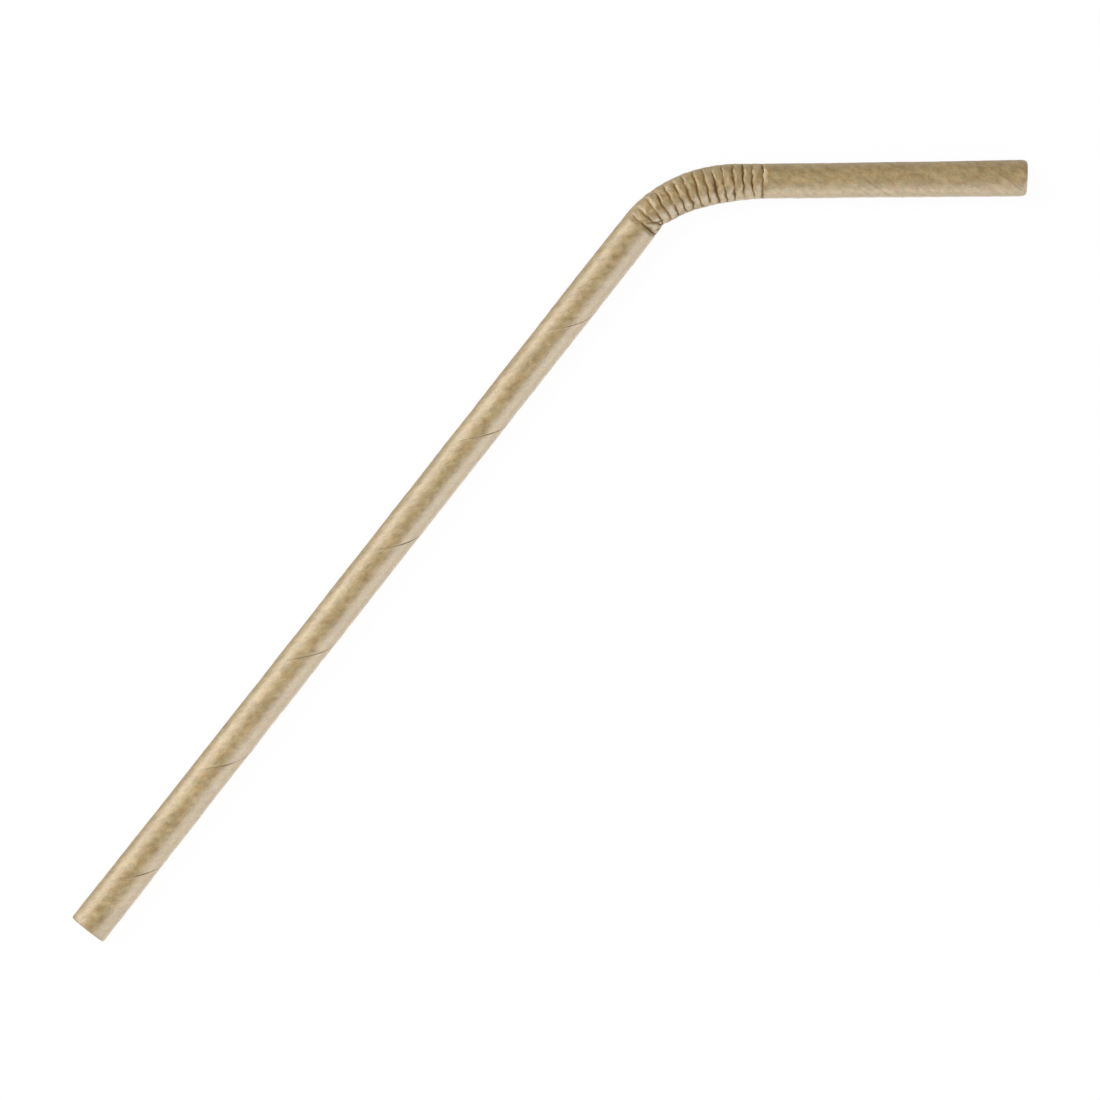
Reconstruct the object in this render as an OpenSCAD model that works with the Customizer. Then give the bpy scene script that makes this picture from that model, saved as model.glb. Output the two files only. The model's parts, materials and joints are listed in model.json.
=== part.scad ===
// Bendable paper drinking straw
//
// A plain tube wound from strips of kraft paper, cut square at both ends. Its upper part
// is crimped into a run of ring-shaped pleats and has been bent there, so the long leg
// that stands in the drink and the short leg held to the mouth point different ways.
//
// The straw lies on its side on the ground plane. The long leg runs along X with its cut
// end at the low X side, the bend turns towards -Y, and the middle of both legs is half a
// diameter above the ground. The origin is the middle of the bottom of the whole straw.

/* [Tube] */
// Outside diameter of the paper tube
tube_d = 6; // [4:0.1:8]
// Thickness of the wound paper wall
wall = 0.4; // [0.3:0.05:0.6]
// Length of the straight leg that stands in the drink
long_len = 145.2; // [60:0.1:240]
// Length of the straight leg held to the mouth
short_len = 42.8; // [15:0.1:120]
// Rounding of the outer edge at the two cut ends
edge_round = 0.2; // [0.05:0.05:0.25]

/* [Bend] */
// Angle between the directions of the two legs
bend_angle = 51.2; // [10:0.2:75]
// Length of the pleated stretch, measured along its middle
bend_len = 22; // [16:0.1:40]
// How much tighter the bend is at the long leg than halfway, as a share
bend_bias = 0.7; // [0:0.02:0.8]

/* [Pleats] */
// Number of pleats between the first and the last crease
pleat_count = 14; // [6:1:18]
// Depth of the creases below the ridges
crease_depth = 0.38; // [0.1:0.02:0.5]
// Narrowness of the creases, higher is sharper
crease_power = 5; // [2:1:8]
// Distance each crease wanders to and fro around the tube
crease_wander = 0.13; // [0:0.01:0.2]
// Depth of the crushed spot on the inner side, next to the long leg
crush_depth = 0.3; // [0:0.05:0.6]

/* [Hidden] */

$fn = 96;

outer_r = tube_d / 2;
bore_r = outer_r - wall;

// The leg ends take up the first and the last of the pleated stretch
crease_inset = 0.22;
run_len = bend_len - 2 * crease_inset;

// The pleated stretch is rooted inside the wall of each leg
root_len = 1.2;
root_share = 0.15;
root_lap = wall * root_share;
root_lip = 0.02;

// Steps round the tube, which start half a step off the inner side of the bend
ring_n = 32;
ring_start = 180 / ring_n;

// Steps along one pleat, steps of the bend's middle line, and steps of a rounded edge
pleat_steps = [0, 0.13, 0.36, 0.64, 0.87];
path_n = 280;
round_n = 6;

// The crushed spot: where along the stretch, and its reach along and around the tube
crush_at = 2.8;
crush_reach = 1.1;
crush_wide = 37;

// Two waves round the tube that the creases follow: share, waves in a turn, shift a pleat
crease_waves = [[0.6, 2, 97], [0.4, 5, -61]];

// Direction of the middle line at a distance along the stretch
function heading(s) =
    let (t = min(max(s / bend_len, 0), 1))
    -bend_angle * (t + bend_bias * t * (1 - t));

// Middle line of the stretch, added up in small straight steps
path_step = bend_len / path_n;
path = [
    for (i = 0, p = [0, 0]; i <= path_n;
         p = p + path_step * [cos(heading((i + 0.5) * path_step)),
                              sin(heading((i + 0.5) * path_step))],
         i = i + 1)
    p
];
bend_end = path[path_n];

// A point on the middle line, carried on straight beyond both ends
function mid_at(s) =
    s <= 0 ? [s, 0]
    : s >= bend_len ? bend_end + (s - bend_len) * [cos(bend_angle), -sin(bend_angle)]
    : let (f = s / path_step, i = min(floor(f), path_n - 1), g = f - i)
      path[i] * (1 - g) + path[i + 1] * g;

// Where the mouth end comes out
tip = bend_end + short_len * [cos(bend_angle), -sin(bend_angle)];

// Extents of the whole straw, for the origin
x_min = -long_len;
x_max = tip[0] + (outer_r - edge_round) * sin(bend_angle)
    + edge_round * (1 - cos(bend_angle));
y_min = tip[1] - (outer_r - edge_round) * cos(bend_angle)
    - edge_round * (1 - sin(bend_angle));
y_max = outer_r;
x_shift = -(x_min + x_max) / 2;
y_shift = -(y_min + y_max) / 2;

// How far the surface drops below the ridge, u counted in pleats from the first crease
function drop(u) = crease_depth * pow(abs(cos(180 * u)), crease_power);

// To-and-fro of the creases round the tube
function wave(w, u, a) = w[0] * sin(w[1] * a + w[2] * u);

function wander(u, a) =
    crease_wander * (wave(crease_waves[0], u, a) + wave(crease_waves[1], u, a));

// Crushed spot on the inner side, a is the angle round the tube from that side
function crush(s, a) =
    let (w = a > 180 ? a - 360 : a)
    crush_depth * exp(-pow((s - crush_at) / crush_reach, 2) - pow(w / crush_wide, 2));

// One point of the skin. a = 0 is the inner side of the bend, a = 90 is up
function skin_point(s, r, a) =
    let (m = mid_at(s), h = heading(s))
    [m[0] + r * cos(a) * sin(h), m[1] - r * cos(a) * cos(h), r * sin(a)];

// Angle round the tube of one of a ring's points
function ring_angle(k) = ring_start + 360 * k / ring_n;

function skin_ring(s, r) = [for (k = [0 : ring_n - 1]) skin_point(s, r, ring_angle(k))];

function pleat_ring(u, r) = [
    for (k = [0 : ring_n - 1])
    let (a = ring_angle(k), s = crease_inset + u * run_len / pleat_count)
    skin_point(s + wander(u, a) * sin(180 * u / pleat_count), r - drop(u) - crush(s, a), a)
];

pleat_us = [
    for (p = [0 : pleat_count - 1]) for (v = pleat_steps) p + v
];
all_us = concat(pleat_us, [pleat_count]);

// Rings of one skin from the long leg to the short leg
function skin_rings(r, r_root) = concat(
    [skin_ring(-root_len, r_root)],
    [skin_ring(-root_lip, r_root)],
    [for (u = all_us) pleat_ring(u, r)],
    [skin_ring(bend_len + root_lip, r_root)],
    [skin_ring(bend_len + root_len, r_root)]
);

function join(list) = [for (part = list) for (p = part) p];

// Two triangles for each step of a skin, turned over when flip is true
function skin_faces(rings, first, flip) = [
    for (i = [0 : rings - 2]) for (k = [0 : ring_n - 1]) for (half = [0, 1])
    let (n = (k + 1) % ring_n,
         a = first + i * ring_n + k,
         b = first + i * ring_n + n,
         c = first + (i + 1) * ring_n + n,
         d = first + (i + 1) * ring_n + k,
         f = half == 0 ? [a, b, c] : [a, c, d])
    flip ? [f[2], f[1], f[0]] : f
];

// Flat ring that closes the wall at one end
function rim_faces(outer_first, inner_first, flip) = [
    for (k = [0 : ring_n - 1]) for (half = [0, 1])
    let (n = (k + 1) % ring_n,
         f = half == 0
             ? [outer_first + k, inner_first + k, inner_first + n]
             : [outer_first + k, inner_first + n, outer_first + n])
    flip ? [f[2], f[1], f[0]] : f
];

module pleated_bend() {
    outer_rings = skin_rings(outer_r, outer_r - root_lap);
    inner_rings = skin_rings(outer_r - wall, bore_r + root_lap);
    count = len(outer_rings);
    skin_size = count * ring_n;
    last = (count - 1) * ring_n;
    polyhedron(
        points = concat(join(outer_rings), join(inner_rings)),
        faces = concat(
            skin_faces(count, 0, false),
            skin_faces(count, skin_size, true),
            rim_faces(0, skin_size, false),
            rim_faces(last, skin_size + last, true)
        ),
        convexity = 10
    );
}

// Half section of a leg: distance from its middle line, then height from the bend
function leg_section(length) = concat(
    [[bore_r, 0], [outer_r, 0]],
    [
        for (i = [0 : round_n])
        [
            outer_r - edge_round + edge_round * cos(90 * i / round_n),
            length - edge_round + edge_round * sin(90 * i / round_n)
        ]
    ],
    [[bore_r, length]]
);

module leg(length) {
    rotate_extrude() polygon(leg_section(length));
}

module straw() {
    color([0.76, 0.66, 0.48])
    translate([x_shift, y_shift, outer_r]) {
        rotate([0, -90, 0]) leg(long_len);
        pleated_bend();
        translate([bend_end[0], bend_end[1], 0])
            rotate([0, 90, -bend_angle])
            leg(short_len);
    }
}

straw();
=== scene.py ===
"""Kraft paper drinking straw with a pleated bend: the looks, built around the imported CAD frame.

The straw is one wound and glued paper tube, so it is one mesh: a closed skin that runs over the
outside from the cut end of the long leg to the mouth, round the cut edge, back through the bore
and round the other cut edge. Its columns follow the spiral butt seam of the outer ply, so the
seam is a real groove, and its rows follow the creases of the pleats.
"""

import json
import math

import bpy
import numpy as np
from mathutils import Matrix, Vector


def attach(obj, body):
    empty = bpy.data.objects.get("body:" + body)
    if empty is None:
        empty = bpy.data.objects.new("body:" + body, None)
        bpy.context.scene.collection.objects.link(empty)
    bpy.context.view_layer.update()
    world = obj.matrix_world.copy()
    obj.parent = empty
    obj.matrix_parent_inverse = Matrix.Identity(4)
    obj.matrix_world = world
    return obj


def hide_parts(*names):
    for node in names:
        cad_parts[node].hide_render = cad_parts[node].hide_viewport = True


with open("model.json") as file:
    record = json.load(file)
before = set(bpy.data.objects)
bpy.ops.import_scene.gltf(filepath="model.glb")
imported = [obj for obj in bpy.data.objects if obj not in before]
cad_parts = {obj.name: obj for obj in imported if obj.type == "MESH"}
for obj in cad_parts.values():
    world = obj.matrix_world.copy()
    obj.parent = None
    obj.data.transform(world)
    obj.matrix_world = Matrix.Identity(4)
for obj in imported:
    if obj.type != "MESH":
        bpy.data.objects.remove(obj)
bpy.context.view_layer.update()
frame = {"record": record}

# ---------------------------------------------------------------- sizes, in metres
MM = 0.001
SEED = 22
TAU = 2 * math.pi

mounts = {m["name"]: m for m in frame["record"]["mounts"]}
TUBE_R = mounts["long_leg"]["dims"]["r_mm"] * MM
BORE_R = mounts["intake_bore"]["dims"]["r_mm"] * MM
LONG_LEN = mounts["intake_bore"]["dims"]["length_mm"] * MM
SHORT_LEN = mounts["mouth_bore"]["dims"]["length_mm"] * MM
INTAKE = np.array(mounts["intake_bore"]["pos_m"])
MOUTH = np.array(mounts["mouth_bore"]["pos_m"])
LONG_DIR = -np.array(mounts["intake_bore"]["axis"], float)
SHORT_DIR = np.array(mounts["mouth_bore"]["axis"], float)
GIRTH = TAU * TUBE_R

# The pleated stretch: each pleat rises steeply after its crease and falls slowly to the next
PLEATS = 14
CREASE_INSET = 0.22 * MM
CREASE_DEPTH = 0.34 * MM
RIDGE_HEIGHT = 0.16 * MM
STEEP_SIDE = 0.12 * MM
SLOW_SIDE = 0.20 * MM

# The spiral seam of the outer ply, and the paper that the pleats take up
SEAM_LEAD = 22.6 * MM
SEAM_FIRST_TOP = 10.9 * MM
PLEATED_EXTRA = 8.0 * MM
STRIP_ANGLE = math.atan(GIRTH / SEAM_LEAD)
STRIP_WIDTH = GIRTH * math.cos(STRIP_ANGLE)

# Where the seams of the plies below the outer one lie, as shares of the girth from its seam
MIDDLE_PLY = 0.455
INNER_PLY = 0.08
BORE_SEAM = -0.3

# Rounding of the outer skin's edge at the two cut ends: depth and reach
INTAKE_EDGE = (0.15 * MM, 0.45 * MM)
MOUTH_EDGE = (0.14 * MM, 0.50 * MM)

# The mouth is pressed in at its two sides, depth and reach on the outer and the inner side of
# the bend, and cut askew: MOUTH_SKEW is half of how much shorter it is on the inner side
OUTER_PINCH = (0.46 * MM, 1.15 * MM)
INNER_PINCH = (0.36 * MM, 1.6 * MM)
MOUTH_SKEW = 0.13 * MM

# The short leg lies a little to the inner side of where an even bend would set it
SHORT_LEG_SET = 0.21 * MM

# How much of the outer skin's relief shows in the bore under the pleats
BORE_FOLLOWS = 0.9

# Mesh steps, and the gaps left between the rings of a leg and those of the pleats
LEG_STEP = 0.7 * MM
INNER_LEG_STEP = 3.2 * MM
OUTER_GAP = 0.02 * MM
INNER_GAP = 0.3 * MM
COLUMNS = 128
CREASE_ROWS = np.array([0, 0.05, 0.10, 0.16, 0.24, 0.35, 0.48, 0.62]) * MM
INNER_CREASE_ROWS = np.array([0, 0.20, 0.48]) * MM
END_ROWS = np.array([0.04, 0.10, 0.18, 0.28, 0.40, 0.56, 0.76, 1.0, 1.3]) * MM

rng = np.random.default_rng(SEED)


# ---------------------------------------------------------------- middle line
def unit_bend(angle, bias, steps=400):
    """Points of a bend one long, and its headings; bias is how much tighter it is at its start."""
    t = np.linspace(0, 1, steps + 1)
    heading = -angle * (t + bias * t * (1 - t))
    mid = (heading[1:] + heading[:-1]) / 2
    step = np.stack([np.cos(mid), np.sin(mid)], 1) / steps
    return np.vstack([[0, 0], np.cumsum(step, 0)]), heading


def fit_bend(start, end, angle):
    """The bend that leaves start along X and reaches end turned by angle: its points and headings."""
    chord = (end - start)[:2]
    wanted = math.atan2(-chord[1], chord[0])
    low, high = 0.0, 0.95
    for _ in range(40):
        bias = (low + high) / 2
        far = unit_bend(angle, bias)[0][-1]
        if math.atan2(-far[1], far[0]) < wanted:
            low = bias
        else:
            high = bias
    points, heading = unit_bend(angle, bias)
    length = np.linalg.norm(chord) / np.linalg.norm(points[-1])
    return start[:2] + points * length, heading, length


BEND_ANGLE = math.acos(float(LONG_DIR @ SHORT_DIR))
BEND_START = INTAKE + LONG_LEN * LONG_DIR
BEND_END = MOUTH - SHORT_LEN * SHORT_DIR
bend_points, bend_heading, BEND_LEN = fit_bend(BEND_START, BEND_END, BEND_ANGLE)
FULL_LEN = LONG_LEN + BEND_LEN + SHORT_LEN
PITCH = (BEND_LEN - 2 * CREASE_INSET) / PLEATS


def middle(s):
    """Heading and XY place on the middle line at distance s from the cut end of the long leg."""
    t = (s - LONG_LEN) / BEND_LEN
    grid = np.linspace(0, 1, len(bend_heading))
    heading = np.interp(t, grid, bend_heading)
    inside = np.clip(t, 0, 1)
    x = np.interp(inside, grid, bend_points[:, 0])
    y = np.interp(inside, grid, bend_points[:, 1])
    before = np.minimum(s - LONG_LEN, 0)
    after = np.maximum(s - LONG_LEN - BEND_LEN, 0)
    x = x + before * LONG_DIR[0] + after * SHORT_DIR[0]
    y = y + before * LONG_DIR[1] + after * SHORT_DIR[1]
    set_over = SHORT_LEG_SET * inside ** 2 * (3 - 2 * inside)
    return heading, x + set_over * np.sin(heading), y - set_over * np.cos(heading)


def paper_length(s):
    """Length of paper up to s: the pleats hold more paper than the stretch is long."""
    return s + PLEATED_EXTRA * np.clip((s - LONG_LEN) / BEND_LEN, 0, 1)


# ---------------------------------------------------------------- small helpers
def knots(count, spread):
    """A to-and-fro round the tube made of straight stretches between random knots."""
    at = (np.arange(count) + rng.uniform(-0.35, 0.35, count)) * TAU / count
    value = rng.normal(0, spread, count)
    return lambda a: np.interp(np.mod(a, TAU), at, value, period=TAU)


def ripple(count, longest, shortest, turns, spread):
    """A smooth random field over distance along the straw and angle round it."""
    wave = rng.uniform(1 / longest, 1 / shortest, count) * TAU
    around = rng.integers(-turns, turns + 1, count)
    phase = rng.uniform(0, TAU, count)
    size = rng.normal(0, spread / math.sqrt(count), count)

    def field(s, a):
        total = np.zeros(np.broadcast(s, a).shape)
        for w, k, p, z in zip(wave, around, phase, size):
            total += z * np.sin(w * s + k * a + p)
        return total

    return field


def bump_at(x, centre, width):
    return np.exp(-(((x - centre) / width) ** 2))


def smooth_step(x, low, high):
    t = np.clip((x - low) / (high - low), 0, 1)
    return t * t * (3 - 2 * t)


# ---------------------------------------------------------------- shape of the tube
def width_share(s):
    """Width of the straw seen from above as a share of the tube.

    Both ends are a little pressed, and the long leg is a hair wider than the tube. The pleats
    start narrow and bulge past their middle, and the short leg after them is narrower.
    """
    b = (s - LONG_LEN) / MM
    intake_press = 0.072 * np.exp(-((s / (27 * MM)) ** 1.3)) + 0.01 * (1 - smooth_step(b, -6, 0))
    bulge = 0.05 * bump_at(b, 13.2, 5.2)
    narrow = -0.05 * smooth_step(b, 15.5, 21.5)
    start_waist = -0.022 * bump_at(b, 3.0, 4.0)
    mouth_press = 0.042 * np.exp(-((np.maximum(FULL_LEN - s, 0) / (14 * MM)) ** 1.5))
    return 1 + intake_press + bulge + narrow + start_waist + mouth_press


def height_share(s):
    """Height as a share of the tube: what the width gains, the height loses in part."""
    return 1 - 0.6 * (width_share(s) - 1)


tube_waves = ripple(14, 40 * MM, 9 * MM, 3, 0.016 * MM)
fine_waves = ripple(24, 5 * MM, 1.9 * MM, 7, 0.013 * MM)
seam_gap = ripple(10, 30 * MM, 3 * MM, 0, 1.0)
seam_lift = ripple(8, 25 * MM, 5 * MM, 0, 1.0)


def seam_clarity(s, a):
    """How open the seam is: tight on the outer side of both legs, all but gone in the pleats."""
    b = (s - LONG_LEN) / MM
    tight = smooth_step(-np.cos(a), -0.15, 0.55) * (1 - smooth_step(b, 0, 8))
    end = BEND_LEN / MM
    pressed = smooth_step(b, -1, 1) * (1 - smooth_step(b, end - 1, end + 1))
    faint = smooth_step(-np.cos(a), -0.5, 0.3) * smooth_step(b, end, end + 8)
    return (1 - 0.85 * tight) * (1 - 0.9 * pressed) * (1 - 0.7 * faint)


def seam_relief(s, a, across):
    """Height of the outer skin near the butt seams; across is the distance round the tube from it."""
    along = paper_length(s)
    clarity = seam_clarity(s, a)
    gap = np.clip(0.85 + 0.35 * seam_gap(along, 0), 0.3, 1.6) * clarity
    lift = np.clip(0.7 + 0.5 * seam_lift(along, 0), 0, 1.7) * clarity
    groove = -0.085 * MM * gap * bump_at(across, 0, 0.06 * MM)
    lip = 0.040 * MM * lift * bump_at(across, 0.22 * MM, 0.16 * MM)
    middle_ply = -0.016 * MM * bump_at(across, MIDDLE_PLY * GIRTH, 0.14 * MM)
    middle_lip = 0.010 * MM * bump_at(across, MIDDLE_PLY * GIRTH + 0.3 * MM, 0.22 * MM)
    inner_ply = -0.008 * MM * bump_at(across, INNER_PLY * GIRTH, 0.12 * MM)
    return groove + lip + middle_ply + middle_lip + inner_ply


# Each crease wanders, is jagged, and changes in depth and width round the tube, and each ridge
# bulges and tilts
crease_wander = [knots(17, 0.11 * MM) for _ in range(PLEATS + 1)]
crease_jags = [knots(37, 0.065 * MM) for _ in range(PLEATS + 1)]
crease_power = [knots(15, 0.42) for _ in range(PLEATS + 1)]
crease_width = [knots(19, 0.42) for _ in range(PLEATS + 1)]
ridge_bulge = [knots(13, 0.035 * MM) for _ in range(PLEATS)]
ridge_tilt = [knots(13, 0.06 * MM) for _ in range(PLEATS)]
crumple = ripple(36, 2.8 * MM, 1.0 * MM, 10, 0.058 * MM)

# Small dents all over the pleats: place along, angle, reach and depth
DENTS = 150
dent_at = LONG_LEN + rng.uniform(0.3 * MM, BEND_LEN - 0.3 * MM, DENTS)
dent_angle = rng.uniform(0, TAU, DENTS)
dent_reach = rng.uniform(0.28, 0.75, DENTS) * MM
dent_depth = rng.normal(0, 0.055, DENTS) * MM

# The crushed spot: where the second and third creases run together on the inner side
CRUSH_AT = 2.8 * MM
CRUSH_DEPTH = 0.30 * MM
CRUSH_REACH = 1.1 * MM
CRUSH_WIDE = 0.65
crush_bend_angles = np.radians([0, 24, 55, 70, 95])
second_crease_shift = np.array([0.95, 0.84, 0.34, -0.16, -0.20]) * MM
third_crease_shift = np.array([-0.42, -0.34, -0.05, -0.08, -0.05]) * MM

# Folds of the crushed spot that run across the pleats: place along in millimetres, then
# degrees round the tube from the inner side
SLANTED_FOLDS = (
    ((0.9, 78), (2.1, 55), (2.6, 24)),
    ((2.1, 55), (3.3, 40)),
    ((1.2, 30), (2.4, 12)),
)
SLANTED_DEPTH = 0.16 * MM
SLANTED_HALF = 0.10 * MM

# The pit where those folds meet: a dip in the skin, with painted shade in its colour (PIT_SHADE)
PIT_AT, PIT_ANGLE = 2.7 * MM, math.radians(28)
PIT_HALF, PIT_DEPTH = 0.24 * MM, 0.25 * MM
PIT_SHADE = 1.3

# The first crease is wider than the others
FIRST_CREASE_WIDTH = 1.5


def inner_angle(a):
    """Angle round the tube from the inner side of the bend, from 0 to half a turn."""
    a = np.mod(a, TAU)
    return np.minimum(a, TAU - a)


def crease_shift(i, a):
    """How far crease i lies from its even place along the straw."""
    shift = crease_wander[i](a) + crease_jags[i](a)
    if i == 1:
        shift = 0.5 * shift + np.interp(inner_angle(a), crush_bend_angles, second_crease_shift)
    if i == 2:
        shift = 0.5 * shift + np.interp(inner_angle(a), crush_bend_angles, third_crease_shift)
    return shift


def crease_reach(i, a):
    """Depth of crease i round the tube, as a share: deep on top, shallow at both sides."""
    degrees = np.degrees(inner_angle(a))
    if i == 0:
        return np.interp(degrees, [0, 35, 80, 105, 130, 180], [0.5, 1.3, 1.25, 0.7, 0.15, 0.03])
    outer = 0.10 + 0.34 * i / PLEATS
    shares = [0.22, 0.85, 1.1, 0.75, 1.4 * outer, 0.35 * outer]
    return np.interp(degrees, [0, 35, 80, 120, 150, 180], shares)


def slanted_folds(s, a):
    """Share of the fold depth, and of the painted fold shade, at a point, from the folds that run
    across the pleats.
    """
    along = s - LONG_LEN
    round_tube = inner_angle(a) * TUBE_R
    fold = np.zeros(a.shape)
    for line in SLANTED_FOLDS:
        for (s0, a0), (s1, a1) in zip(line, line[1:]):
            p = np.array([s0 * MM, math.radians(a0) * TUBE_R])
            d = np.array([s1 * MM, math.radians(a1) * TUBE_R]) - p
            t = np.clip(((along - p[0]) * d[0] + (round_tube - p[1]) * d[1]) / (d @ d), 0, 1)
            gap = np.hypot(along - p[0] - t * d[0], round_tube - p[1] - t * d[1])
            fold = np.maximum(fold, np.exp(-((gap / SLANTED_HALF) ** 1.2)))
    return fold * (np.sin(a) > 0)


def dents(s, a):
    """Height of the small dents and bumps at a point."""
    total = np.zeros(a.shape)
    for at, angle, reach, depth in zip(dent_at, dent_angle, dent_reach, dent_depth):
        turn = np.mod(a - angle + math.pi, TAU) - math.pi
        total += depth * np.exp(-((s - at) ** 2 + (turn * TUBE_R) ** 2) / reach ** 2)
    return total


def pleat_point(u, a):
    """Place along the straw, drop below the tube and painted shade of the fold, u in pleats."""
    i = min(int(u), PLEATS - 1)
    f = u - i
    s = LONG_LEN + CREASE_INSET + u * PITCH
    s = s + (1 - f) * crease_shift(i, a) + f * crease_shift(i + 1, a)
    near = i if f < 0.5 else i + 1
    side = STEEP_SIDE if f < 0.5 else SLOW_SIDE
    wider = FIRST_CREASE_WIDTH if near == 0 else 1
    half = side * np.clip(1 + crease_width[near](a), 0.5, 2.0) * wider
    share = crease_reach(near, a) * np.clip(1 + crease_power[near](a), 0.25, 1.7)
    # fold is the crease's share of its depth and also its painted shade, which reaches further on the
    # slow side
    fold = share * np.exp(-((min(f, 1 - f) * PITCH / half) ** 1.15))
    early = f ** 0.6
    arch = 4 * early * (1 - early)
    on_top = np.abs(np.sin(a)) ** 1.5
    ridge = RIDGE_HEIGHT * (0.12 + 0.88 * on_top)
    shake = 0.3 + 0.7 * on_top
    lift = arch * ridge_bulge[i](a) + arch * (2 * f - 1) * ridge_tilt[i](a)
    lift = shake * (lift + dents(s, a) + arch * crumple(s, a))
    turn = inner_angle(a)
    crush = CRUSH_DEPTH * bump_at(s, LONG_LEN + CRUSH_AT, CRUSH_REACH) * bump_at(turn, 0, CRUSH_WIDE)
    slanted = slanted_folds(s, a)
    pit = bump_at(s, LONG_LEN + PIT_AT, PIT_HALF) * bump_at(turn, PIT_ANGLE, PIT_HALF / TUBE_R)
    pit = pit * (np.sin(a) > 0)
    drop = CREASE_DEPTH * fold + ridge * (1 - arch) - lift + crush + SLANTED_DEPTH * slanted
    return s, drop + PIT_DEPTH * pit, np.maximum(fold, np.maximum(slanted, PIT_SHADE * pit))


def end_drop(d, depth, reach):
    """Rounding of the outer skin at a cut end, d from the end."""
    t = np.clip(1 - d / reach, 0, 1)
    return depth * (1 - np.sqrt(1 - t * t))


def mouth_pinch(s, a):
    """How far the paper is pressed in at the mouth, most on the two sides of the straw."""
    side = np.cos(a)
    depth = np.where(side < 0, OUTER_PINCH[0], INNER_PINCH[0]) * side ** 2
    return end_drop(FULL_LEN - s, depth, np.where(side < 0, OUTER_PINCH[1], INNER_PINCH[1]))


def outer_radius(s, a, across):
    """Radius of the outer skin away from the pleats."""
    r = TUBE_R + tube_waves(s, a) + fine_waves(s, a) + seam_relief(s, a, across)
    r = r - end_drop(s, *INTAKE_EDGE)
    return r - end_drop(FULL_LEN - s, *MOUTH_EDGE) - mouth_pinch(s, a)


def inner_radius(s, a, across):
    """Radius of the bore's skin away from the pleats."""
    along = paper_length(s)
    seam = 0.05 * MM * bump_at(across, BORE_SEAM * GIRTH, 0.07 * MM)
    r = BORE_R + 0.6 * tube_waves(s, a) + seam + 0.006 * MM * np.sin(along / (3 * MM) + 3 * a)
    return r - mouth_pinch(s, a)


# ---------------------------------------------------------------- the skin's rings
def column_places():
    """Distances round the tube from the seam, closer together at the seams."""
    near = np.array([-0.5, -0.25, -0.12, -0.06, -0.03, 0, 0.03, 0.06, 0.12, 0.20, 0.30, 0.5]) * MM
    ply = MIDDLE_PLY * GIRTH + np.array([-0.28, -0.14, 0, 0.14, 0.28]) * MM
    free = COLUMNS - len(near) - len(ply)
    first = np.linspace(near[-1], ply[0], int(free * 0.45) + 2)[1:-1]
    second = np.linspace(ply[-1], GIRTH + near[0], free - len(first) + 2)[1:-1]
    return np.concatenate([near, first, ply, second])


ACROSS = column_places()


def seam_angle(s):
    """Angle of the seam round the tube at s; a quarter turn is the top."""
    return math.pi / 2 - TAU * (paper_length(s) - SEAM_FIRST_TOP) / SEAM_LEAD


def seam_distance():
    """Distances of the columns from the seam, from minus half to plus half the girth."""
    return np.where(ACROSS > GIRTH / 2, ACROSS - GIRTH, ACROSS)


def place(s, a, r):
    """World places of points given by distance along, angle round and radius."""
    # the mouth is cut a little askew, shorter on the inner side of the bend
    askew = smooth_step(s, FULL_LEN - 3 * MM, FULL_LEN)
    heading, x, y = middle(s - MOUTH_SKEW * (1 + np.cos(a)) * askew)
    share_w, share_h = width_share(s), height_share(s)
    out = r * np.cos(a) * share_w
    z = np.maximum(TUBE_R * np.maximum(share_h, 1) + r * np.sin(a) * share_h, 0)
    return np.stack([x + out * np.sin(heading), y - out * np.cos(heading), z], 1)


def leg_rows(start, end, step, end_rows, cut_at_start):
    """Distances of a leg's rings, closer together at its cut end."""
    count = max(int(round((end - start) / step)), 2)
    rows = np.linspace(start, end, count + 1)
    if cut_at_start:
        rows = np.concatenate([start + end_rows, rows[rows > start + end_rows[-1] + step * 0.3]])
    else:
        rows = np.concatenate([rows[rows < end - end_rows[-1] - step * 0.3], (end - end_rows)[::-1]])
    return rows


def pleat_rows(offsets):
    """Places of the pleats' rings in pleats, at the given distances before and after each crease."""
    first = offsets / PITCH
    one = np.concatenate([first, [0.5], 1 - first[:0:-1]])
    return np.concatenate([i + one for i in range(PLEATS)] + [[PLEATS]])


def ring_angles(s):
    return seam_angle(s) + ACROSS / TUBE_R


def outer_rings():
    """Rings of the outer skin from the intake to the mouth: distance, radius and painted fold shade.
    """
    across = seam_distance()
    rings = []
    for s in leg_rows(0, LONG_LEN - OUTER_GAP, LEG_STEP, END_ROWS, True):
        rings.append((s, outer_radius(s, ring_angles(s), across), 0.0))
    for u in pleat_rows(CREASE_ROWS):
        nominal = LONG_LEN + CREASE_INSET + u * PITCH
        a = ring_angles(nominal)
        s, drop, fold = pleat_point(u, a)
        r = TUBE_R - drop + seam_relief(nominal, a, across)
        rings.append((s, r, fold))
    short_start = LONG_LEN + BEND_LEN + OUTER_GAP
    for s in leg_rows(short_start, FULL_LEN, LEG_STEP, END_ROWS, False):
        rings.append((s, outer_radius(s, ring_angles(s), across), 0.0))
    return rings


def inner_rings():
    """Rings of the bore's skin from the mouth back to the intake."""
    across = seam_distance()
    rings = []
    for s in leg_rows(0, LONG_LEN - INNER_GAP, INNER_LEG_STEP, END_ROWS[1::3], True):
        rings.append((s, inner_radius(s, ring_angles(s), across), 0.0))
    for u in pleat_rows(INNER_CREASE_ROWS):
        nominal = LONG_LEN + CREASE_INSET + u * PITCH
        a = ring_angles(nominal)
        s, drop, _ = pleat_point(u, a)
        rings.append((s, BORE_R - BORE_FOLLOWS * drop, 0.0))
    short_start = LONG_LEN + BEND_LEN + INNER_GAP
    for s in leg_rows(short_start, FULL_LEN, INNER_LEG_STEP, END_ROWS[1::3], False):
        rings.append((s, inner_radius(s, ring_angles(s), across), 0.0))
    return rings[::-1]


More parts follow.
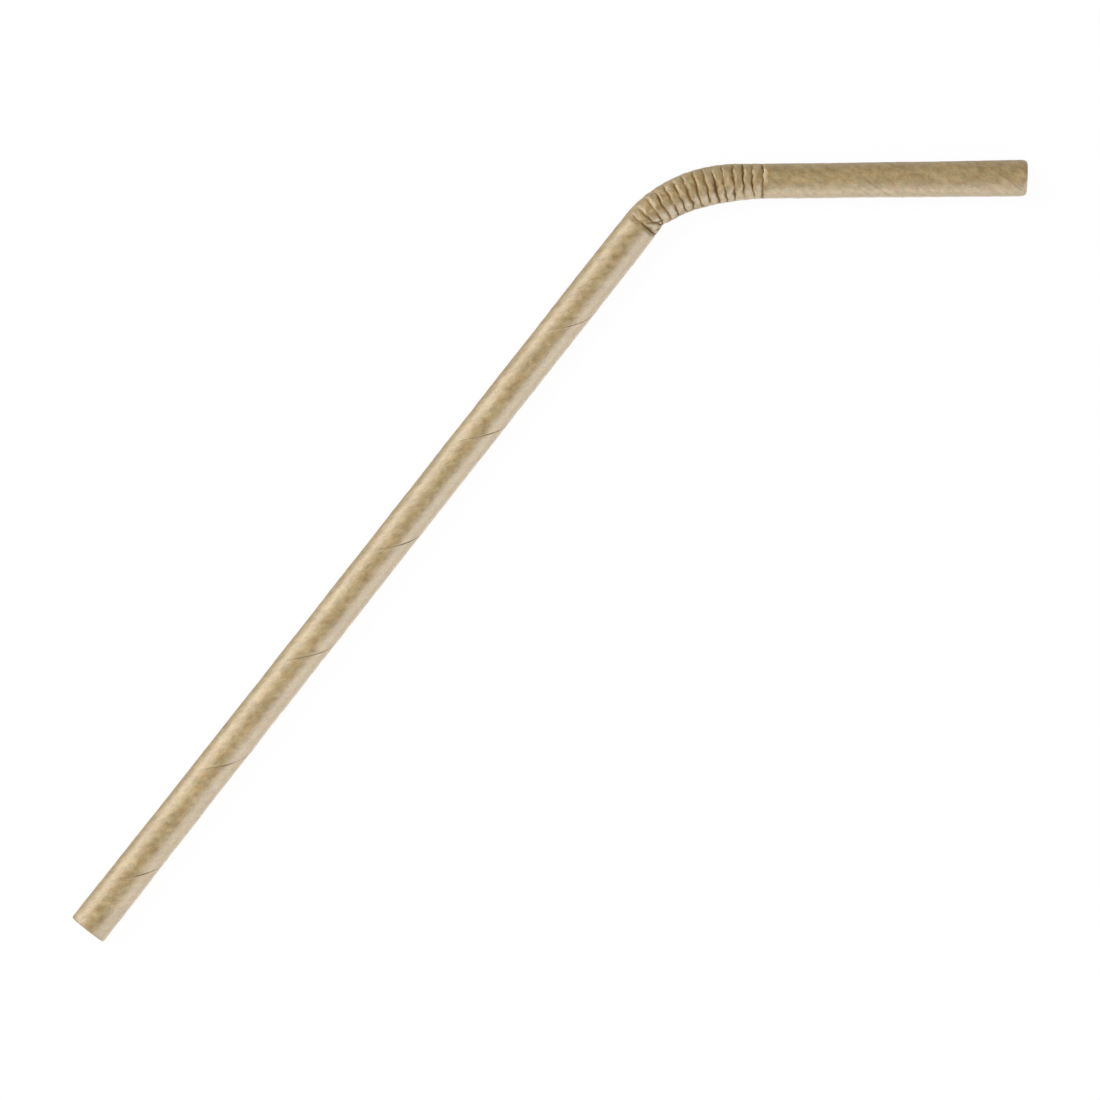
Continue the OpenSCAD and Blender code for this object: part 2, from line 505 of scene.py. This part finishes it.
# Section of a cut end, from the outer skin to the bore: share of the wall, then set-back
CUT_SECTION = np.array([
    [0.02, 0.030], [0.08, 0.010], [0.18, 0.000], [0.29, 0.004], [0.33, 0.035], [0.37, 0.004],
    [0.52, 0.000], [0.62, 0.004], [0.66, 0.035], [0.70, 0.004], [0.84, 0.000], [0.95, 0.012],
])


def cut_rings(at_mouth):
    """Rings of a cut edge, ordered so that the skin goes on from the rings before."""
    across = seam_distance()
    end = FULL_LEN if at_mouth else 0.0
    inward = -1 if at_mouth else 1
    a = ring_angles(end)
    r_out = outer_radius(end + inward * 0.001 * MM, a, across)
    r_in = inner_radius(end, a, across)
    ragged = knots(40, 0.012 * MM)
    rings = []
    for share, back in CUT_SECTION:
        set_back = back * MM + ragged(a) * (0.6 + share)
        r = r_out + (r_in - r_out) * share
        rings.append((end + inward * np.maximum(set_back, 0), r, 0.0))
    return rings if at_mouth else rings[::-1]


def build_straw():
    """The straw's mesh with its strip map and, for each point, its painted fold shade and its cut and
    seam values.
    """
    parts = [outer_rings(), cut_rings(True), inner_rings(), cut_rings(False)]
    region = np.concatenate([np.full(len(p), i) for i, p in enumerate(parts)])
    rings = [r for p in parts for r in p]
    count = len(rings)
    ones = np.ones(COLUMNS)
    verts, fold_shades, seams, strip_p = [], [], [], []
    for s, r, fold in rings:
        s = s * ones
        a = ring_angles(s.mean())
        verts.append(place(s, a, r * ones))
        fold_shades.append(fold * ones)
        seams.append(seam_clarity(s, a))
        along = paper_length(s) / math.cos(STRIP_ANGLE)
        strip_p.append(along - ACROSS * math.sin(STRIP_ANGLE))
    verts = np.vstack(verts)
    i, k = np.meshgrid(np.arange(count), np.arange(COLUMNS), indexing="ij")
    i2, k2 = (i + 1) % count, (k + 1) % COLUMNS
    faces = np.stack([i * COLUMNS + k, i2 * COLUMNS + k, i2 * COLUMNS + k2, i * COLUMNS + k2], -1)
    faces = faces.reshape(-1, 4)
    mesh = bpy.data.meshes.new("paper_straw")
    mesh.from_pydata(verts.tolist(), [], faces.tolist())
    # strip map: along and across the wound paper strip, in millimetres
    strip_p = np.array(strip_p)
    far = ACROSS[0] + GIRTH
    q = np.concatenate([ACROSS, [far]]) / GIRTH * STRIP_WIDTH
    p = np.concatenate([strip_p, strip_p[:, :1] - GIRTH * math.sin(STRIP_ANGLE)], 1)
    shift = region * 0.4
    uv = np.zeros((count, COLUMNS, 4, 2))
    nxt = np.roll(np.arange(count), -1)
    this = np.arange(count)
    for corner, (rows, dk) in enumerate(((this, 0), (nxt, 0), (nxt, 1), (this, 1))):
        uv[:, :, corner, 0] = p[rows][:, dk:COLUMNS + dk] + shift[:, None]
        uv[:, :, corner, 1] = q[None, dk:COLUMNS + dk]
    layer = mesh.uv_layers.new(name="strip")
    layer.data.foreach_set("uv", (uv / MM).reshape(-1).astype(np.float32))
    # the fold attribute carries the painted shade of the creases, the slanted folds and the pit
    for name, values in (("fold", np.array(fold_shades)),
                         ("cut", np.repeat((region % 2 == 1)[:, None], COLUMNS, 1)),
                         ("seam", np.array(seams))):
        made = mesh.attributes.new(name, "FLOAT", "POINT")
        made.data.foreach_set("value", values.astype(np.float32).reshape(-1))
    mesh.polygons.foreach_set("use_smooth", np.ones(len(faces), bool))
    mesh.update()
    straw = bpy.data.objects.new("paper_straw", mesh)
    bpy.context.scene.collection.objects.link(straw)
    return straw


# ---------------------------------------------------------------- material
class Nodes:
    """Small helper to write a node tree in few lines."""

    def __init__(self, material):
        self.tree = material.node_tree
        self.tree.nodes.clear()

    def add(self, kind, inputs=None, **settings):
        node = self.tree.nodes.new(kind)
        for name, value in settings.items():
            setattr(node, name, value)
        for key, value in (inputs or {}).items():
            self.feed(node.inputs[key], value)
        return node

    def feed(self, socket, value):
        if isinstance(value, bpy.types.NodeSocket):
            self.tree.links.new(value, socket)
        else:
            socket.default_value = value

    def math(self, operation, a, b=None, c=None, clamp=False):
        inputs = {k: v for k, v in enumerate((a, b, c)) if v is not None}
        node = self.add("ShaderNodeMath", inputs, operation=operation, use_clamp=clamp)
        return node.outputs[0]

    def ramp(self, value, low, high, out_low=0.0, out_high=1.0):
        inputs = {"Value": value, "From Min": low, "From Max": high,
                  "To Min": out_low, "To Max": out_high}
        return self.add("ShaderNodeMapRange", inputs, clamp=True).outputs["Result"]

    def noise(self, vector, scale, detail=3.0, roughness=0.55, distortion=0.0):
        inputs = {"Vector": vector, "Scale": scale, "Detail": detail, "Roughness": roughness,
                  "Distortion": distortion}
        return self.add("ShaderNodeTexNoise", inputs).outputs["Fac"]

    def stretched(self, vector, scale, turn=0.0, shift=(0, 0, 0)):
        inputs = {"Vector": vector, "Scale": scale, "Rotation": (0, 0, turn), "Location": shift}
        return self.add("ShaderNodeMapping", inputs).outputs["Vector"]

    def mix(self, factor, a, b, blend="MIX"):
        node = self.add("ShaderNodeMix", data_type="RGBA", blend_type=blend)
        self.feed(node.inputs[0], factor)
        self.feed(node.inputs[6], a)
        self.feed(node.inputs[7], b)
        return node.outputs[2]


PAPER_DARK = (0.288, 0.188, 0.065, 1)
PAPER_LIGHT = (0.486, 0.356, 0.167, 1)


def kraft_paper():
    """Brown kraft paper, smooth enough to shine a little: cloudy sheet, pale and dark fibres."""
    material = bpy.data.materials.new("kraft_paper")
    material.use_nodes = True
    n = Nodes(material)
    strip = n.add("ShaderNodeUVMap", uv_map="strip").outputs["UV"]
    q = n.add("ShaderNodeSeparateXYZ", {"Vector": strip}).outputs["Y"]
    fold = n.add("ShaderNodeAttribute", attribute_name="fold").outputs["Fac"]
    cut = n.add("ShaderNodeAttribute", attribute_name="cut").outputs["Fac"]
    seam_open = n.add("ShaderNodeAttribute", attribute_name="seam").outputs["Fac"]

    # the sheet: slow clouds, blotches of about a millimetre, flecks and grain
    cloud = n.noise(n.stretched(strip, (0.18, 0.32, 1), shift=(7, 3, 0)), 1.0, 2.0, 0.5)
    blotch = n.noise(n.stretched(strip, (0.75, 1.1, 1), shift=(2, 8, 0)), 1.0, 3.0, 0.6)
    fleck = n.noise(strip, 3.4, 2.0, 0.6)
    grain = n.noise(strip, 9.0, 2.0, 0.6)
    hue = n.noise(n.stretched(strip, (0.55, 0.7, 1), shift=(31, 17, 0)), 1.0, 2.0, 0.5)
    long_fibres = n.noise(n.stretched(strip, (0.9, 5.5, 1), 0.25), 1.0, 1.0, 0.5, 0.5)
    cross_fibres = n.noise(n.stretched(strip, (0.9, 6.5, 1), 0.75, (3, 9, 0)), 1.0, 1.0, 0.5, 0.4)
    back_fibres = n.noise(n.stretched(strip, (0.9, 6.5, 1), -0.85, (13, 4, 0)), 1.0, 1.0, 0.5, 0.4)

    tone = n.math("MULTIPLY_ADD", blotch, 0.45, n.math("MULTIPLY", cloud, 0.20))
    tone = n.math("ADD", tone, n.math("MULTIPLY_ADD", fleck, 0.23, n.math("MULTIPLY", grain, 0.12)))
    base = n.mix(n.ramp(tone, 0.40, 0.60), PAPER_DARK, PAPER_LIGHT)
    base = n.mix(n.ramp(hue, 0.50, 0.68), base, (1.045, 0.968, 0.83, 1), "MULTIPLY")
    base = n.mix(n.ramp(hue, 0.50, 0.32), base, (0.955, 1.015, 1.0, 1), "MULTIPLY")

    # single fibres stand out where the stretched noise peaks
    pale = n.math("MAXIMUM", n.ramp(long_fibres, 0.68, 0.78), n.ramp(cross_fibres, 0.65, 0.75))
    dark = n.math("MAXIMUM", n.ramp(back_fibres, 0.66, 0.76), n.ramp(long_fibres, 0.32, 0.22))
    base = n.mix(n.math("MULTIPLY", pale, 0.38), base, (0.62, 0.50, 0.32, 1))
    base = n.mix(n.math("MULTIPLY", dark, 0.30), base, (0.20, 0.125, 0.045, 1))

    # the dark line of the butt seam, partly glue and dirt and partly painted shadow in its groove, and
    # the faint one of the ply under it
    from_seam = n.math("PINGPONG", q, STRIP_WIDTH / MM / 2)
    seam_noise = n.noise(n.stretched(strip, (0.35, 0.0, 1)), 1.0, 2.0, 0.5)
    seam = n.math("MULTIPLY", n.ramp(from_seam, 0.10, 0.03), n.ramp(seam_noise, 0.34, 0.58, 0.35, 1.0))
    seam = n.math("MULTIPLY", seam, seam_open)
    base = n.mix(n.math("MULTIPLY", seam, 0.80), base, (0.100, 0.050, 0.012, 1))
    from_ply = n.math("ABSOLUTE", n.math("SUBTRACT", q, MIDDLE_PLY * STRIP_WIDTH / MM))
    base = n.mix(n.math("MULTIPLY", n.ramp(from_ply, 0.13, 0.02), 0.12), base, (0.15, 0.09, 0.04, 1))

    # folds and the pit get painted shade, a dark brown; cut edges show the paler middle of the sheet
    base = n.mix(n.math("MULTIPLY", n.ramp(fold, 0.06, 0.80), 0.85), base, (0.215, 0.102, 0.010, 1))
    base = n.mix(n.math("MULTIPLY", cut, 0.25), base, (0.50, 0.40, 0.25, 1))

    roughness = n.ramp(n.math("MULTIPLY_ADD", fleck, 0.4, blotch), 0.45, 0.95, 0.40, 0.56)
    roughness = n.math("MULTIPLY_ADD", n.ramp(fold, 0.05, 0.35), 0.5, roughness, clamp=True)

    # height of the sheet in millimetres
    height = n.math("MULTIPLY_ADD", blotch, 0.055, n.math("MULTIPLY", fleck, 0.022))
    height = n.math("ADD", height, n.math("MULTIPLY", pale, 0.008))
    crossing = n.math("MAXIMUM", cross_fibres, back_fibres)
    height = n.math("ADD", height, n.math("MULTIPLY", crossing, 0.012))
    height = n.math("ADD", height, n.math("MULTIPLY", grain, 0.004))
    bump = n.add("ShaderNodeBump", {"Strength": 1.0, "Distance": MM, "Height": height})

    shader = n.add("ShaderNodeBsdfPrincipled", {"Base Color": base, "Roughness": roughness,
                                                "Normal": bump.outputs["Normal"]})
    shader.inputs["IOR"].default_value = 1.5
    shader.inputs["Specular IOR Level"].default_value = 1.0
    out = n.add("ShaderNodeOutputMaterial")
    n.tree.links.new(shader.outputs[0], out.inputs["Surface"])
    return material


def light_table():
    """White acrylic lit from below: shadows on it wash out."""
    material = bpy.data.materials.new("light_table")
    material.use_nodes = True
    n = Nodes(material)
    surface = n.add("ShaderNodeBsdfDiffuse", {"Color": (0.06, 0.06, 0.06, 1)})
    glow = n.add("ShaderNodeEmission", {"Color": (1, 1, 1, 1), "Strength": TABLE_GLOW})
    both = n.add("ShaderNodeAddShader", {0: surface.outputs[0], 1: glow.outputs[0]})
    out = n.add("ShaderNodeOutputMaterial")
    n.tree.links.new(both.outputs[0], out.inputs["Surface"])
    return material


# ---------------------------------------------------------------- studio
# The picture shows the straw from straight above, turned so that the short leg lies level.
LEVEL_TURN = math.radians(-51.87)
FRAME_FILL = 0.868
LENS, SENSOR = 300.0, 36.0
FLOOR_HALF = 3.0
TABLE_GLOW = 0.95
TENT_LIGHT = 0.53
LAMP_DISTANCE = 0.6
LAMP_SIZE = (0.35, 0.20)

# Soft boxes: place round the picture in degrees from its right, height in degrees, power.
# The first set lights the paper itself, the second only shows as shine on it.
COLOUR_LAMPS = {
    "main_light": (145, 45, 1.8),
    "near_light": (-90, 45, 1.0),
}
SHINE_LAMPS = {
    "left_low_shine": (145, 14, 2.25),
    "left_high_shine": (145, 40, 0.9),
    "far_left_shine": (180, 26, 0.9),
    "right_low_shine": (-38, 8, 1.9),
    "right_high_shine": (-38, 36, 2.1),
    "near_low_shine": (-90, 10, 1.7),
}

# Glowing cards that lie on the table beside each leg, on the inner side of the bend
CARD_GAP = 3 * MM
CARD_HEIGHT = 0.8 * MM
LONG_CARD = (0.15, 0.10, 0.09)
SHORT_CARD = (0.06, 0.10, 0.025)


def view_axes():
    right = Vector((math.cos(LEVEL_TURN), math.sin(LEVEL_TURN), 0))
    return right, Vector((-right.y, right.x, 0))


def picture_direction(turn, elevation):
    """World direction of a light, turn degrees round the picture from its right side."""
    right, up = view_axes()
    flat = right * math.cos(math.radians(turn)) + up * math.sin(math.radians(turn))
    e = math.radians(elevation)
    return flat * math.cos(e) + Vector((0, 0, math.sin(e)))


def make_camera(straw):
    """A long lens straight above, far enough to keep FRAME_FILL of the picture's width filled."""
    right, up = view_axes()
    points = [straw.matrix_world @ v.co for v in straw.data.vertices]
    across = [p.dot(right) for p in points]
    along = [p.dot(up) for p in points]
    width = max(across) - min(across)
    middle_up = (max(along) + min(along) + SHORT_LEG_SET) / 2
    centre = right * (max(across) + min(across)) / 2 + up * middle_up
    distance = width / FRAME_FILL * LENS / SENSOR + TUBE_R
    data = bpy.data.cameras.new("camera")
    data.lens, data.sensor_width = LENS, SENSOR
    data.clip_start, data.clip_end = 0.01, 10
    camera = bpy.data.objects.new("camera", data)
    bpy.context.scene.collection.objects.link(camera)
    turn = Matrix((right, up, Vector((0, 0, 1)))).transposed().to_4x4()
    camera.matrix_world = Matrix.Translation(centre + Vector((0, 0, distance))) @ turn
    bpy.context.scene.camera = camera


def add_lamp(name, size, power, matrix):
    data = bpy.data.lights.new(name, "AREA")
    data.shape, data.energy = "RECTANGLE", power
    data.size, data.size_y = size
    lamp = bpy.data.objects.new(name, data)
    bpy.context.scene.collection.objects.link(lamp)
    lamp.matrix_world = matrix
    lamp.visible_camera = False
    return lamp


def soft_box(name, turn, elevation, power):
    direction = picture_direction(turn, elevation)
    facing = direction.to_track_quat("Z", "Y").to_matrix().to_4x4()
    return add_lamp(name, LAMP_SIZE, power, Matrix.Translation(direction * LAMP_DISTANCE) @ facing)


def table_card(name, leg_middle, leg_direction, settings):
    """A card facing up beside a leg, on the inner side of the bend."""
    length, width, power = settings
    inner = np.array([leg_direction[1], -leg_direction[0], 0])
    x, y, _ = leg_middle + inner * (CARD_GAP + width / 2)
    turn = math.atan2(leg_direction[1], leg_direction[0])
    matrix = Matrix.Translation((x, y, CARD_HEIGHT)) @ Matrix.Rotation(turn, 4, "Z")
    card = add_lamp(name, (length, width), power, matrix @ Matrix.Rotation(math.pi, 4, "X"))
    card.visible_diffuse = False


def make_lights():
    for name, settings in COLOUR_LAMPS.items():
        soft_box(name, *settings).visible_glossy = False
    for name, settings in SHINE_LAMPS.items():
        soft_box(name, *settings).visible_diffuse = False
    table_card("long_leg_card", INTAKE + LONG_DIR * LONG_LEN / 2, LONG_DIR, LONG_CARD)
    table_card("short_leg_card", MOUTH - SHORT_DIR * SHORT_LEN / 2, SHORT_DIR, SHORT_CARD)


def make_world():
    """A pale tent above the table, with nothing below it."""
    world = bpy.data.worlds.new("studio")
    world.use_nodes = True
    n = Nodes(world)
    direction = n.add("ShaderNodeTexCoord").outputs["Generated"]
    height = n.add("ShaderNodeSeparateXYZ", {"Vector": direction}).outputs["Z"]
    strength = n.ramp(height, -0.03, 0.03, 0.0, TENT_LIGHT)
    sky = n.add("ShaderNodeBackground", {"Color": (1, 1, 1, 1), "Strength": strength})
    out = n.add("ShaderNodeOutputWorld")
    n.tree.links.new(sky.outputs[0], out.inputs["Surface"])
    world.cycles_visibility.glossy = False
    bpy.context.scene.world = world


def make_floor():
    """The lit table, which adds no diffuse light of its own to the paper; it still shows in the
    paper's shine.
    """
    mesh = bpy.data.meshes.new("floor")
    corners = [(-1, -1), (1, -1), (1, 1), (-1, 1)]
    mesh.from_pydata([(x * FLOOR_HALF, y * FLOOR_HALF, 0) for x, y in corners], [], [(0, 1, 2, 3)])
    floor = bpy.data.objects.new("floor", mesh)
    mesh.materials.append(light_table())
    floor.visible_diffuse = False
    bpy.context.scene.collection.objects.link(floor)


bpy.context.scene.view_settings.view_transform = "Standard"
straw = build_straw()
straw.data.materials.append(kraft_paper())
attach(straw, "root")
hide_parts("straw")
make_floor()
make_world()
make_camera(straw)
make_lights()
